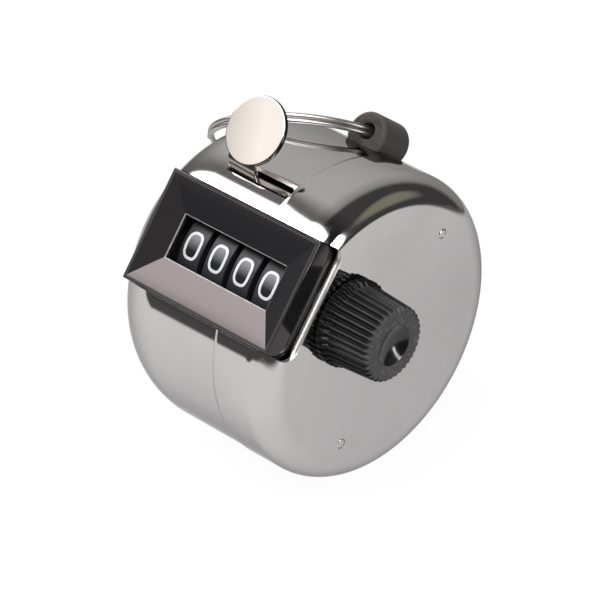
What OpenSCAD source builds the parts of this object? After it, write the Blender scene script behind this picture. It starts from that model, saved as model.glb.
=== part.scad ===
// Hand tally counter: a round two-part case, a window frame, four number wheels,
// a thumb lever with its pawl, a reset knob and a finger ring on a lug.
// Lengths are in millimetres and angles in degrees.
// In the counter's own frame X runs along the wheel shaft towards the knob, Y runs
// back from the window, Z runs up the window, and the origin is on the shaft.

/* [Case] */
// Outer radius of the round case, measured on the right shell
case_r = 24.1; // [23.7:0.1:25]
// Distance of the wheel shaft behind the front of the case
shaft_in = 14.8; // [14.5:0.1:15.1]
// Distance of the right face from the middle of the window
right_w = 16.1; // [15.8:0.1:17]
// How much further the left face is from the middle of the window than the right face
left_over = 4.1; // [3.5:0.1:4.9]
// Rounding of the right shell's edge
right_round = 4.2; // [3:0.1:5]
// Rounding of the left shell's edge
left_round = 12.4; // [11.6:0.1:12.8]
// Sheet thickness of both shells
case_wall = 0.8; // [0.6:0.05:1]
// Place of the seam between the shells
seam_x = 5; // [4.5:0.1:5.6]
// How far the right shell stands proud of the left one at the seam
seam_step = 0.15; // [0.05:0.05:0.3]
// Length of the left shell's lip inside the right shell
lip_len = 3; // [2:0.5:4]
// How far the counter leans back where it stands
lean = 37.5; // [0:0.5:45]
// How far the underside is flattened where the counter stands, measured on the left shell
stand_flat = 0.1; // [0.05:0.05:0.15]

/* [Window] */
// How far the right face stands beyond the window frame
bezel_side = 1.1; // [0.8:0.1:1.6]
// Height of the window frame
bezel_h = 17.8; // [17:0.1:18.2]
// Distance of the frame's front in front of the shaft
bezel_front = 12.4; // [12:0.1:12.8]
// Distance of the case's cut edge in front of the shaft
notch_back = 7.8; // [7.5:0.1:8.2]
// Rounding of the cut's rear corners
notch_round = 2.4; // [1.5:0.1:3]
// Wall thickness of the window frame
bezel_wall = 0.9; // [0.7:0.05:1.1]
// Width of the frame's front rim
bezel_rim = 0.5; // [0.3:0.05:0.8]
// Width of the slope at each end of the opening
slope_w = 4.6; // [4.3:0.1:5]
// Height of the opening over the numbers
aperture_h = 6.9; // [6:0.1:7.5]
// Depth of the sloping sides
funnel_depth = 1.4; // [1:0.1:1.6]

/* [Number wheels] */
// Radius of the wheels over the digits
wheel_r = 9.5; // [9.2:0.1:9.7]
// Room between one digit band and the next
band_space = 1; // [0.95:0.05:1.2]
// Thickness of the digit band
band_t = 1; // [0.8:0.1:1.4]
// Outer radius of the ratchet
ratchet_r = 7.2; // [6.8:0.1:7.3]
// Depth of the ratchet teeth
tooth_depth = 1; // [0.6:0.1:1.3]
// Digits on a wheel, and teeth on its ratchet
digits = 10; // [10]
// Radius of the wheel shaft
shaft_r = 2; // [1.8:0.05:2.2]
// Wall thickness of the hub on the shaft
hub_wall = 1.4; // [1.2:0.1:1.6]

/* [Reset knob] */
// Length of the knob, from the case to its end
knob_len = 9.4; // [8.5:0.1:11]
// Radius of the knob's foot
knob_foot_r = 6.8; // [6.6:0.1:7.4]
// Thickness of the knob's foot
knob_foot_t = 2.1; // [1.5:0.1:2.5]
// Radius of the grip next to the foot
knob_base_r = 6.3; // [6:0.1:6.5]
// Radius of the grip at its end
knob_tip_r = 5.9; // [5.6:0.1:6]
// Rounding at the knob's end
knob_round = 0.7; // [0.4:0.1:1]
// Grooves round the grip
knob_grooves = 36; // [24:4:40]
// Radius of the hollow in the knob's end
dimple_r = 3.15; // [2.5:0.05:3.6]
// Depth of the hollow in the knob's end
dimple_depth = 0.8; // [0.5:0.1:1]

/* [Thumb lever] */
// Sheet thickness of the lever
lever_t = 0.8; // [0.6:0.05:1]
// Place of the lever's pivot in front of the shaft
pivot_front = 7.4; // [7.2:0.1:7.6]
// Height of the lever's pivot above the shaft
pivot_up = 10.2; // [10.1:0.1:10.5]
// Radius of the lever's pivot pin
pivot_r = 0.9; // [0.8:0.05:1]
// Direction of the neck, up from the line to the back
neck_angle = 146; // [144:1:148]
// Length of the neck from the pivot to its bend
neck_len = 6.4; // [6:0.1:7]
// Width of the neck
neck_w = 5.5; // [5:0.1:6]
// Sideways place of the neck
neck_x = -3.8; // [-4.4:0.1:-3.4]
// Radius of the thumb disc
disc_r = 5.3; // [4.8:0.1:5.6]
// Height of the disc's centre above the bend
disc_rise = 5.15; // [5:0.05:5.8]
// Travel of the lever
lever_stroke = 17; // [15:0.5:18]

/* [Finger ring] */
// Radius of the ring at the middle of its wire
ring_r = 14; // [13.6:0.1:14.6]
// Thickness of the ring's wire
wire_d = 0.82; // [0.7:0.02:0.9]
// How far the ring hangs below level
ring_drop = 25; // [22:0.5:26]
// Radius of the lug
lug_r = 3.5; // [3.3:0.1:3.7]
// Length of the lug
lug_len = 7; // [6:0.5:8]
// Radius of the hole through the lug
lug_bore_r = 1.6; // [1.5:0.05:1.75]
// Distance of the lug's middle from the left face
lug_in = 20.4; // [20:0.1:20.8]
// Distance of the lug's middle in front of the case axis
lug_fore = 0.15; // [-0.1:0.05:0.4]

/* [Fits] */
// Clearance of a shaft or pin in its hole
run_fit = 0.05; // [0.03:0.01:0.08]
// Clearance between shells and window frame
case_fit = 0.1; // [0.06:0.02:0.16]
// Clearance between moving pieces and their neighbours
move_gap = 0.3; // [0.25:0.05:0.35]

/* [Hidden] */
$fn = 72;

// Case
left_w = right_w + left_over;
shaft_forward = case_r - shaft_in;
left_r = case_r - seam_step;
stand_h = left_r - stand_flat;
lip_r = case_r - case_wall - run_fit;
joggle_len = case_wall;
past = 1;

// Window, which spans the case between its rounded left edge and the right face
bezel_w = 2 * (right_w - bezel_side);
aperture_w = bezel_w - 2 * slope_w;
notch_h = bezel_h + 2 * case_fit;
panel_back = bezel_front - funnel_depth - bezel_wall;

// Number wheels: each cell holds a digit band and the ratchet on its right
wheels = 4;
wheel_pitch = aperture_w / wheels;
band_w = wheel_pitch - band_space;
wheel_gap = 0.1;
ratchet_w = wheel_pitch - band_w - 2 * wheel_gap;
stack_x = -wheels * wheel_pitch / 2 + (wheel_pitch - band_w) / 2 - wheel_gap;
stack_end = stack_x + wheels * wheel_pitch;
hub_r = shaft_r + run_fit + hub_wall;
web_t = 1.4;
tooth_angle = 360 / digits;
key_w = 0.8;

// Reset leaf on each wheel's web
leaf_t = 0.4;
leaf_w = 1.6;
leaf_boss_r = 0.9;
leaf_root = wheel_r - band_t - leaf_boss_r - move_gap;
leaf_tip_r = shaft_r + move_gap;
leaf_turn = 35;

// Frame: two plates outside the lever's cheeks
cheek_t = 0.9;
cheek_in = max(stack_end, -stack_x) + move_gap;
cheek_out = cheek_in + cheek_t;
plate_in = cheek_out + move_gap;
plate_t = 1;
plate_out = plate_in + plate_t;
plate_room = 4.3;
plate_r = case_r - plate_room;
plate_front = notch_back - 0.8;
spacer_r = 1.8;
spacer_in = 5.6;
spacer_up = 8.5;
spacer_front = 2.5;
spacer_low = 12.6;
spacers = [[-spacer_front, -spacer_low], [shaft_forward + plate_r - spacer_in, spacer_up]];
stake_r = 1.7;
stake_tip_r = 0.75;
stake_back = 2.7;
stake_in = 7;
right_stake = [shaft_forward + stake_back, case_r - stake_in];
left_stake_in = 15.1;
left_stake_up = case_r - left_stake_in;

// Cradle: the thick cross plate low at the back that ties the two side plates
cradle_t = 3.4;
cradle_w = 19;
cradle_out = plate_r - 1.2;
cradle_angle = -74;

// Shaft ends
clip_t = 0.6;
clip_r = 3.2;
shaft_left = -plate_out - 2 * clip_t;
knob_back = right_w + move_gap / 2;
knob_end = right_w + knob_len;
knob_floor = 2.6;
knob_bore_end = knob_end - knob_floor;
bush_r = 3.2;
bush_flange_r = 4.4;
face_in = right_w - case_wall;
bush_back = plate_out + run_fit + clip_t + run_fit;

// Lever: pivot, pawl pin and tail, as [y, z]
pivot = [-pivot_front, pivot_up];
pawl_fore = 0.3;
pawl_in = 8.1;
pawl_at = [shaft_forward - pawl_fore, case_r - pawl_in];
tail_back = 8.9;
tail_in = 5.8;
tail_to = [shaft_forward + tail_back, case_r - tail_in];
tail_t = 1;
tail_len = 4.8;
barrel_r = 1.7;
cheek_w = 3;
pawl_pin_r = 0.8;
bend = pivot + neck_len * [cos(neck_angle), sin(neck_angle)];
disc_mid = bend + [0, disc_rise];
disc_proud = 0.03;
barrel_x = cheek_out + move_gap / 3;
plate_len = 3;
tab_len = 4.3;
tab_right = seam_x - move_gap;
slot_mid = neck_angle - lever_stroke / 2;
slot_reach = 4.7;
slot_len = 2 * slot_reach * sin(lever_stroke / 2) + lever_t + 2 * move_gap;
slot_x = neck_x - neck_w / 2 - move_gap;

// Pawl: fingers that reach past the digit bands to the ratchets
finger_t = 0.5;
finger_w = 1.2;
knee_back = 10.9;
knee_up = 7.5;
finger_knee = [knee_back, knee_up];
tip_back = 7.9;
tip_up = 1.9;
finger_tip = [tip_back, tip_up];
pawl_barrel_r = 1.5;

// Detent comb: fingers on a bar between the plates
detent_back = 8.4;
detent_in = 11.7;
detent_bar = [detent_back, detent_in - case_r];
detent_tip_back = 3.4;
detent_tip_low = 7.4;
detent_tip = [detent_tip_back, -detent_tip_low];
detent_w = 1;
detent_bar_w = 2.6;

// Return spring under the lever's tail
spring_fore = 2;
spring_y = tail_to[0] - spring_fore;
spring_foot = 4.5;
spring_top = tail_to[1] - tail_t / 2;
spring_r = 2.2;
spring_wire = 0.6;
spring_turns = 5.5;
spring_bar_w = 6;
spring_bar_t = 1.6;

// Lug and ring
lug_x = lug_in - left_w;
lug_y = shaft_forward - lug_fore;
lug_proud = 1.3;
lug_z = case_r + lug_proud;
bore_rise = 0.5;
bore_z = lug_z + bore_rise;
stem_r = 1.4;
stem_len = 4;
stem_bottom = left_r - stem_len;
nut_r = 2.4;
nut_h = 1.6;
ring_seat = 0.2;
ring_split = 200;
split_w = 0.5;

echo(cheek_in = cheek_in, plate_out = plate_out, stack_x = stack_x, stand_height = stand_h);

// Stands the counter on its round side, leaning back
module place() {
    translate([0, 0, stand_h]) rotate([-lean, 0, 0]) translate([0, -shaft_forward, 0]) children();
}

// Slab below the flat that the counter stands on
module table_cut() {
    translate([0, shaft_forward, 0]) rotate([lean, 0, 0]) translate([-left_w - past, -case_r, -case_r - past])
        cube([left_w + right_w + 2 * past, 2 * case_r, case_r + past - stand_h]);
}

// Turns a [radius, x] outline round an axis parallel to X
module spin(y = 0, z = 0) {
    translate([0, y, z]) rotate([0, 90, 0]) rotate_extrude() children();
}

// Cylinder along X
module rod(x0, x1, r, at = [0, 0]) {
    translate([x0, at[0], at[1]]) rotate([0, 90, 0]) cylinder(h = x1 - x0, r = r);
}

// Extrudes a [y, z] outline along X
module slab(x0, x1) {
    translate([x0, 0, 0]) rotate([90, 0, 90]) linear_extrude(x1 - x0) children();
}

// Round-ended bar between two [y, z] points
module link(x0, x1, a, b, w) {
    run = b - a;
    slab(x0, x1) {
        translate(a) rotate(atan2(run[1], run[0])) translate([0, -w / 2]) square([norm(run), w]);
        translate(a) circle(w / 2);
        translate(b) circle(w / 2);
    }
}

// Strip of even width through three [y, z] points
module strip(x0, x1, a, b, c, w) {
    run = (b - a) / norm(b - a);
    turn = (c - b) / norm(c - b);
    start = w / 2 * [-run[1], run[0]];
    end = w / 2 * [-turn[1], turn[0]];
    corner = (start + end) / (1 + run * turn);
    slab(x0, x1) polygon([a + start, b + corner, c + end, c - end, b - corner, a - start]);
}

// Half section of a cup whose face has a rounded edge
module cup_outline(r, face, rim, round) {
    low = min(face, rim);
    side = rim > face ? 1 : -1;
    inner = face + side * round;
    translate([0, low]) square([r - round, abs(rim - face)]);
    translate([0, min(inner, rim)]) square([r, abs(rim - inner)]);
    intersection() {
        translate([r - round, inner]) circle(round);
        translate([r - round, min(face, inner)]) square([round, round]);
    }
}

// Side view of the window cut, open to the front
module notch_outline(h, back, round) {
    front = -case_r;
    translate([front, -h / 2]) square([-back - round - front, h]);
    translate([front, -h / 2 + round]) square([-back - front, h - 2 * round]);
    for (side = [-1, 1])
        translate([-back - round, side * (h / 2 - round)]) circle(round);
}

module left_shell() {
    color("silver") difference() {
        spin(shaft_forward) difference() {
            union() {
                cup_outline(left_r, -left_w, seam_x - case_fit, left_round);
                translate([0, seam_x - joggle_len]) square([lip_r, joggle_len + lip_len]);
            }
            cup_outline(left_r - case_wall, case_wall - left_w, seam_x - joggle_len, left_round - case_wall);
            square([lip_r - case_wall, seam_x + lip_len + past]);
        }
        slab(-bezel_w / 2 - case_fit, seam_x + lip_len + past)
            notch_outline(notch_h, notch_back, notch_round);
        translate([slot_x, pivot[0], pivot[1]]) rotate([slot_mid, 0, 0])
            translate([0, 0, -slot_len / 2]) cube([seam_x + lip_len + past - slot_x, left_r, slot_len]);
        table_cut();
        translate([lug_x, lug_y, stem_bottom]) cylinder(h = case_r, r = stem_r + run_fit);
        for (side = [-1, 1])
            rod(-left_w - past, case_wall - left_w + past, stake_tip_r + run_fit,
                [shaft_forward, side * left_stake_up]);
    }
}

module right_shell() {
    color("silver") difference() {
        spin(shaft_forward) difference() {
            cup_outline(case_r, right_w, seam_x, right_round);
            cup_outline(case_r - case_wall, face_in, seam_x - past, right_round - case_wall);
        }
        slab(seam_x - past, right_w + past) notch_outline(notch_h, notch_back, notch_round);
        table_cut();
        rod(face_in - past, right_w + past, bush_r + run_fit);
        for (side = [-1, 1])
            rod(face_in - past, right_w + past, stake_tip_r + run_fit, [right_stake[0], side * right_stake[1]]);
    }
}

// Frame round the numbers, with four slopes down to the opening
module window_bezel() {
    half = bezel_w / 2;
    color("dimgray") difference() {
        slab(-half, half) intersection() {
            notch_outline(bezel_h, notch_back + case_fit, notch_round);
            translate([-bezel_front, -bezel_h]) square([bezel_front, 2 * bezel_h]);
        }
        slab(bezel_wall - half, half - bezel_wall) intersection() {
            notch_outline(bezel_h - 2 * bezel_wall, 0, notch_round);
            translate([-panel_back, -bezel_h]) square([bezel_front, 2 * bezel_h]);
        }
        hull() {
            translate([0, -bezel_front, 0])
                cube([bezel_w - 2 * bezel_rim, 0.01, bezel_h - 2 * bezel_rim], center = true);
            translate([0, -bezel_front + funnel_depth, 0]) cube([aperture_w, 0.01, aperture_h], center = true);
        }
        translate([-aperture_w / 2, -bezel_front, -aperture_h / 2]) cube([aperture_w, bezel_front, aperture_h]);
    }
}

// Strip of the reset leaf, from its rivet on the web to the shaft
module leaf_outline(grow = 0) {
    tip = leaf_tip_r * [sin(leaf_turn), cos(leaf_turn)];
    run = tip - [0, leaf_root];
    translate([0, leaf_root]) rotate(atan2(run[1], run[0]))
        translate([0, -leaf_t / 2 - grow]) square([norm(run), leaf_t + 2 * grow]);
}

// Number wheel: digit band, web, hub and ratchet, with a slot for its reset leaf
module number_wheel(place_no) {
    x0 = stack_x + place_no * wheel_pitch + wheel_gap;
    band_end = x0 + band_w;
    hub_end = band_end + ratchet_w;
    color("black") difference() {
        union() {
            spin() {
                translate([wheel_r - band_t, x0]) square([band_t, band_w]);
                translate([0, band_end - web_t]) square([wheel_r - band_t / 2, web_t]);
                translate([0, x0]) square([hub_r, hub_end - x0]);
            }
            slab(band_end, hub_end) polygon([
                for (i = [0 : digits - 1]) each [
                    (ratchet_r - tooth_depth) * [cos(i * tooth_angle), sin(i * tooth_angle)],
                    ratchet_r * [cos(i * tooth_angle), sin(i * tooth_angle)]
                ]
            ]);
        }
        rod(x0 - past, hub_end + past, shaft_r + run_fit);
        slab(x0 - past, band_end - web_t) leaf_outline(move_gap);
    }
}

module reset_leaf(place_no) {
    web = stack_x + place_no * wheel_pitch + wheel_gap + band_w - web_t;
    color("goldenrod") {
        slab(web - leaf_w, web) leaf_outline();
        rod(web - leaf_w, web, leaf_boss_r, [0, leaf_root]);
    }
}

// Shaft with the groove that the reset leaves catch in
module wheel_shaft() {
    color("lightgray") difference() {
        rod(shaft_left, knob_bore_end, shaft_r);
        translate([stack_x, -key_w / 2, shaft_r - key_w]) cube([stack_end - stack_x, key_w, key_w + past]);
    }
}

module reset_knob() {
    grip = knob_end - knob_back - knob_foot_t;
    taper = atan((knob_base_r - knob_tip_r) / grip);
    groove_r = 0.42;
    ball_r = (dimple_r * dimple_r + dimple_depth * dimple_depth) / (2 * dimple_depth);
    color("black") difference() {
        spin() {
            translate([0, knob_back]) square([knob_foot_r - knob_round, knob_foot_t]);
            translate([0, knob_back]) square([knob_foot_r, knob_foot_t - knob_round]);
            translate([knob_foot_r - knob_round, knob_back + knob_foot_t - knob_round]) circle(knob_round);
            polygon([[0, knob_back], [knob_base_r, knob_back + knob_foot_t - knob_round],
                [knob_tip_r, knob_end - knob_round], [0, knob_end - knob_round]]);
            translate([0, knob_back + knob_foot_t]) square([knob_tip_r - knob_round, grip]);
            translate([knob_tip_r - knob_round, knob_end - knob_round]) circle(knob_round);
        }
        translate([knob_end + ball_r - dimple_depth, 0, 0]) sphere(ball_r);
        rod(knob_back - past, knob_bore_end, shaft_r);
        for (i = [0 : knob_grooves - 1])
            rotate([i * 360 / knob_grooves, 0, 0])
                translate([knob_back + knob_foot_t + groove_r, 0, knob_base_r + groove_r / 4])
                    rotate([0, 90 + taper, 0]) cylinder(h = knob_len, r = groove_r);
    }
}

// Flanged bush that guides the shaft through the right face
module shaft_bush() {
    color("goldenrod") difference() {
        union() {
            rod(bush_back, right_w, bush_r);
            rod(bush_back, face_in, bush_flange_r);
        }
        rod(bush_back - past, right_w + past, shaft_r + run_fit);
    }
}

module shaft_clips() {
    color("gray") for (x = [-plate_out - run_fit - clip_t, plate_out + run_fit])
        difference() {
            rod(x, x + clip_t, clip_r);
            rod(x - past, x + clip_t + past, shaft_r);
            translate([x - past, 0, -key_w]) cube([clip_t + 2 * past, 2 * clip_r, 2 * key_w]);
        }
}

// Washers that fill the room between the wheels and the plates
module thrust_washers() {
    color("goldenrod") for (ends = [[-plate_in, stack_x - wheel_gap], [stack_end + wheel_gap, plate_in]])
        difference() {
            rod(ends[0], ends[1], hub_r);
            rod(ends[0] - past, ends[1] + past, shaft_r + run_fit);
        }
}

// Side plate of the movement frame, from x0 to x1
module frame_plate(x0, x1, stake_at) {
    difference() {
        rod(x0, x1, plate_r, [shaft_forward, 0]);
        translate([x0 - past, -case_r, -case_r]) cube([plate_t + 2 * past, case_r - plate_front, 2 * case_r]);
        rod(x0 - past, x1 + past, shaft_r + run_fit);
        rod(x0 - past, x1 + past, stake_tip_r, stake_at);
        rod(x0 - past, x1 + past, stake_tip_r, [stake_at[0], -stake_at[1]]);
    }
    rod(x0, x1, barrel_r, pivot);
}

module frame_left_plate() {
    color("lightsteelblue") difference() {
        frame_plate(-plate_out, -plate_in, [shaft_forward, left_stake_up]);
        rod(-plate_out - past, past - plate_in, pivot_r, pivot);
    }
}

module frame_right_plate() {
    color("lightsteelblue") difference() {
        frame_plate(plate_in, plate_out, right_stake);
        rod(plate_in - past, plate_out + past, pivot_r, pivot);
    }
}

module frame_spacers() {
    color("lightgray") for (at = spacers) rod(-plate_in, plate_in, spacer_r, at);
}

module frame_cradle() {
    color("lightsteelblue") slab(-plate_in, plate_in)
        translate([shaft_forward, 0]) rotate(cradle_angle)
            translate([cradle_out - cradle_t, -cradle_w / 2]) square([cradle_t, cradle_w]);
}

// Stakes that hold the frame to the faces of the case
module left_stakes() {
    color("silver") for (side = [-1, 1]) {
        rod(case_wall - left_w, -plate_out, stake_r, [shaft_forward, side * left_stake_up]);
        rod(-left_w, -plate_in, stake_tip_r, [shaft_forward, side * left_stake_up]);
    }
}

module right_stakes() {
    color("silver") for (side = [-1, 1]) {
        rod(plate_out, face_in, stake_r, [right_stake[0], side * right_stake[1]]);
        rod(plate_in, right_w, stake_tip_r, [right_stake[0], side * right_stake[1]]);
    }
}

// Bent sheet lever: thumb disc, neck, pivot barrel, cheeks and tail
module thumb_lever() {
    sheet_x = cheek_in + cheek_t / 2;
    color("wheat") difference() {
        union() {
            strip(neck_x - neck_w / 2, neck_x + neck_w / 2, pivot, bend, disc_mid, lever_t);
            translate([neck_x, disc_mid[0], disc_mid[1]]) rotate([90, 0, 0])
                cylinder(h = lever_t + 2 * disc_proud, r = disc_r, center = true);
            translate([0, pivot[0], pivot[1]]) rotate([neck_angle, 0, 0])
                translate([0, 0, disc_proud - lever_t / 2]) linear_extrude(lever_t - 2 * disc_proud) {
                    translate([neck_x, 0]) square([tab_right - neck_x, tab_len]);
                    translate([-sheet_x, 0]) square([2 * sheet_x, plate_len]);
                }
            rod(-barrel_x, barrel_x, barrel_r, pivot);
            for (x = [-cheek_out, cheek_in]) strip(x, x + cheek_t, pivot, pawl_at, tail_to, cheek_w);
            slab(-sheet_x, sheet_x) translate(tail_to - [tail_len, tail_t / 2]) square([tail_len, tail_t]);
        }
        rod(-barrel_x - past, barrel_x + past, pivot_r + run_fit, pivot);
        rod(-cheek_out - past, cheek_out + past, pawl_pin_r, pawl_at);
    }
}

module lever_pin() {
    color("lightgray") rod(-plate_out, plate_out, pivot_r, pivot);
}

// Coil of the return spring: rings of six points along a helix, closed at both ends
coil_steps = 10;
coil_sides = 6;
coil_n = spring_turns * coil_steps;
coil_rise = spring_top - spring_foot - spring_wire - move_gap / 2;
function coil_point(i) = let (a = 360 * i / coil_steps)
    [spring_r * cos(a), spring_r * sin(a), coil_rise * i / coil_n];
function coil_ring(i) = let (
    a = 360 * i / coil_steps,
    out = [cos(a), sin(a), 0],
    up = [0, 0, 1]
) [for (k = [0 : coil_sides - 1])
    coil_point(i) + spring_wire / 2 * (cos(360 * k / coil_sides) * out + sin(360 * k / coil_sides) * up)];
coil_gap = min([for (i = [0 : coil_n - coil_steps]) norm(coil_point(i + coil_steps) - coil_point(i))])
    - spring_wire;
echo(least_gap_between_curls = coil_gap);

module lever_spring() {
    points = [for (i = [0 : coil_n]) each coil_ring(i)];
    skin = [for (i = [0 : coil_n - 1]) for (k = [0 : coil_sides - 1])
        let (a = i * coil_sides + k, b = i * coil_sides + (k + 1) % coil_sides)
        each [[a, b + coil_sides, a + coil_sides], [a, b, b + coil_sides]]];
    caps = [for (k = [1 : coil_sides - 2]) each [
        [0, k + 1, k],
        [coil_n * coil_sides, coil_n * coil_sides + k, coil_n * coil_sides + k + 1]]];
    color("gray") translate([0, spring_y, spring_foot + spring_wire / 2 + move_gap / 4])
        polyhedron(points, concat(skin, caps));
}

module spring_bar() {
    color("lightsteelblue") slab(-plate_in, plate_in)
        translate([spring_y - spring_bar_w / 2, spring_foot - spring_bar_t]) square([spring_bar_w, spring_bar_t]);
}

// Middle of the gap between a wheel's digit band and the next one
function ratchet_x(place_no) = stack_x + place_no * wheel_pitch + wheel_gap + (wheel_pitch + band_w) / 2;

module drive_pawl() {
    color("goldenrod") difference() {
        union() {
            rod(move_gap - cheek_in, cheek_in - move_gap, pawl_barrel_r, pawl_at);
            for (i = [0 : wheels - 1]) {
                x0 = ratchet_x(i) - finger_t / 2;
                strip(x0, x0 + finger_t, pawl_at, finger_knee, finger_tip, finger_w);
            }
        }
        rod(-cheek_in, cheek_in, pawl_pin_r + run_fit, pawl_at);
    }
}

module pawl_pin() {
    color("lightgray") rod(-cheek_out, cheek_out, pawl_pin_r, pawl_at);
}

// Spring comb that holds each wheel at its digit
module detent_comb() {
    color("goldenrod") {
        slab(-plate_in, plate_in) translate(detent_bar) square([detent_bar_w, detent_w], center = true);
        for (i = [0 : wheels - 1])
            link(ratchet_x(i) - finger_t / 2, ratchet_x(i) + finger_t / 2, detent_bar, detent_tip, detent_w);
    }
}

// Round-topped lug seated on the case, with a stem through the left shell
module ring_lug() {
    color("darkslategray") difference() {
        union() {
            difference() {
                translate([lug_x, lug_y + lug_len / 2, lug_z]) rotate([90, 0, 0]) cylinder(h = lug_len, r = lug_r);
                rod(-left_w, right_w, left_r, [shaft_forward, 0]);
                rod(seam_x - case_fit, right_w, case_r, [shaft_forward, 0]);
            }
            translate([lug_x, lug_y, stem_bottom])
                cylinder(h = bore_z - lug_bore_r - case_wall / 4 - stem_bottom, r = stem_r);
        }
        translate([lug_x, lug_y + lug_len, bore_z]) rotate([90, 0, 0]) cylinder(h = 2 * lug_len, r = lug_bore_r);
    }
}

module lug_nut() {
    top = sqrt(pow(left_r - case_wall, 2) - pow(nut_r, 2)) - run_fit;
    color("gray") translate([lug_x, lug_y, top - nut_h]) difference() {
        rotate(30) cylinder(h = nut_h, r = nut_r, $fn = 6);
        translate([0, 0, -past]) cylinder(h = nut_h + 2 * past, r = stem_r);
    }
}

// Split ring of two turns through the lug, lying over the left shoulder of the case
module finger_ring() {
    step = wire_d * 0.49;
    color("gainsboro") translate([lug_x, lug_y, bore_z]) rotate([0, -ring_drop, 0])
        translate([ring_seat - ring_r, 0, 0]) for (side = [-1, 1]) difference() {
            rotate_extrude() translate([ring_r, side * step]) circle(wire_d / 2, $fn = 24);
            rotate([0, 0, ring_split + side * 8]) translate([ring_r - wire_d, 0, side > 0 ? 0 : -wire_d])
                cube([2 * wire_d, split_w, wire_d]);
        }
}

place() left_shell();
place() right_shell();
place() window_bezel();
place() number_wheel(0);  // number_wheel_thousands
place() number_wheel(1);  // number_wheel_hundreds
place() number_wheel(2);  // number_wheel_tens
place() number_wheel(3);  // number_wheel_units
place() reset_leaf(0);  // reset_leaf_thousands
place() reset_leaf(1);  // reset_leaf_hundreds
place() reset_leaf(2);  // reset_leaf_tens
place() reset_leaf(3);  // reset_leaf_units
place() wheel_shaft();
place() reset_knob();
place() shaft_bush();
place() shaft_clips();
place() thrust_washers();
place() frame_left_plate();
place() frame_right_plate();
place() frame_spacers();
place() frame_cradle();
place() left_stakes();
place() right_stakes();
place() thumb_lever();
place() lever_pin();
place() lever_spring();
place() spring_bar();
place() drive_pawl();
place() pawl_pin();
place() detent_comb();
place() ring_lug();
place() lug_nut();
place() finger_ring();
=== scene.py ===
import math
import bpy
import numpy as np
from mathutils import Matrix, Vector


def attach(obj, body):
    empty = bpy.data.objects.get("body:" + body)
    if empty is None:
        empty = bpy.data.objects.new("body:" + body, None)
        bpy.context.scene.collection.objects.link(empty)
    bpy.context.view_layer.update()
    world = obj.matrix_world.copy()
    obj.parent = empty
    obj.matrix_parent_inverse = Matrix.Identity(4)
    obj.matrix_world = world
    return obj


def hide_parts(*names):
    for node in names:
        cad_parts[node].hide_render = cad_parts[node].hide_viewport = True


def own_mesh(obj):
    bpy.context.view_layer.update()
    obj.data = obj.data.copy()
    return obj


# Hand tally counter. Shapes are worked out in millimetres in the counter's own frame:
# x along the wheel shaft to the knob, y back from the window, z up the window.
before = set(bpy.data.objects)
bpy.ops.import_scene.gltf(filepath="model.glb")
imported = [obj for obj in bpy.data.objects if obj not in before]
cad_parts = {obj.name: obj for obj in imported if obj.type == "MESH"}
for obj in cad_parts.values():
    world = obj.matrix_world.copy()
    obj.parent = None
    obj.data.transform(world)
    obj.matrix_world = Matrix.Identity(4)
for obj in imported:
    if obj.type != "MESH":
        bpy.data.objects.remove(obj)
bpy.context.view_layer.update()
print("frame loaded:", len(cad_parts), "nodes")

mm = 0.001
standing = dict(lean=math.radians(37.5), shaftForward=9.3, height=23.85)
leanCos, leanSin = math.cos(standing["lean"]), math.sin(standing["lean"])
axisAt = (0, standing["shaftForward"], 0)  # the case's axis
nearAxis = 0.02  # turned skins stop this far from their axis, or at this share of their radius
tiny = 1e-9  # stands in for nought in divisions
cornerSigns = ((1, 1), (-1, 1), (-1, -1), (1, -1))  # of a rectangle, all the way round


# Leans back about x, or forward where the way is -1: y and z are turned by the lean
def leanBack(v, way=1):
    x, y, z = np.moveaxis(v, -1, 0)
    return np.stack([x, y * leanCos + way * z * leanSin, z * leanCos - way * y * leanSin], axis=-1)


# Own frame in millimetres to the standing place in metres: to the case's axis, lean, lift onto the floor
def standUp(v):
    return (leanBack(np.asarray(v, float) - axisAt) + [0, 0, standing["height"]]) * mm


# Standing place back to the own frame, the reverse of the above
def layDown(v):
    return leanBack(np.asarray(v, float) / mm - [0, 0, standing["height"]], -1) + axisAt


# Rows scaled to length one
def unit(v):
    return v / np.linalg.norm(v, axis=-1, keepdims=True)


# Direction at an angle in degrees, and the one a quarter turn on from it
def heading(degrees):
    a = math.radians(degrees)
    return np.array([[math.cos(a), math.sin(a)], [-math.sin(a), math.cos(a)]])


# From 0 to 1 over a run from a start, level outside it
def ramp(value, start, run):
    return np.clip((value - start) / run, 0, 1)


# Values of a dictionary by their names
def pick(settings, names):
    return [settings[name] for name in names.split()]


# Quads between neighbouring rows of a grid whose columns run round, and from last row to first if asked
def gridQuads(rows, cols, closeRows=False):
    i, j = np.meshgrid(np.arange(rows if closeRows else rows - 1), np.arange(cols), indexing="ij")
    nextRow, nextCol = (i + 1) % rows, (j + 1) % cols
    quads = [i * cols + j, nextRow * cols + j, nextRow * cols + nextCol, i * cols + nextCol]
    return np.stack(quads, axis=-1).reshape(-1, 4)


# A grid of points as a closed skin, its end rows capped, its faces turned outward by the sign of its volume
def skin(points, closeRows=False):
    rows, cols = points.shape[:2]
    verts = points.reshape(-1, 3)
    quads = gridQuads(rows, cols, closeRows)
    caps = [] if closeRows else [np.arange(cols), (rows - 1) * cols + np.arange(cols)[::-1]]
    centred = verts - verts.mean(axis=0)
    a, b, c, d = (centred[quads[:, k]] for k in range(4))
    volume = np.sum(a * (np.cross(b, c) + np.cross(c, d)))
    for cap in caps:
        fan = centred[cap]
        volume += np.sum(fan[0] * np.cross(fan[1:-1], fan[2:]))
    if volume < 0:
        quads, caps = quads[:, ::-1], [cap[::-1] for cap in caps]
    return verts, quads, caps


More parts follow.
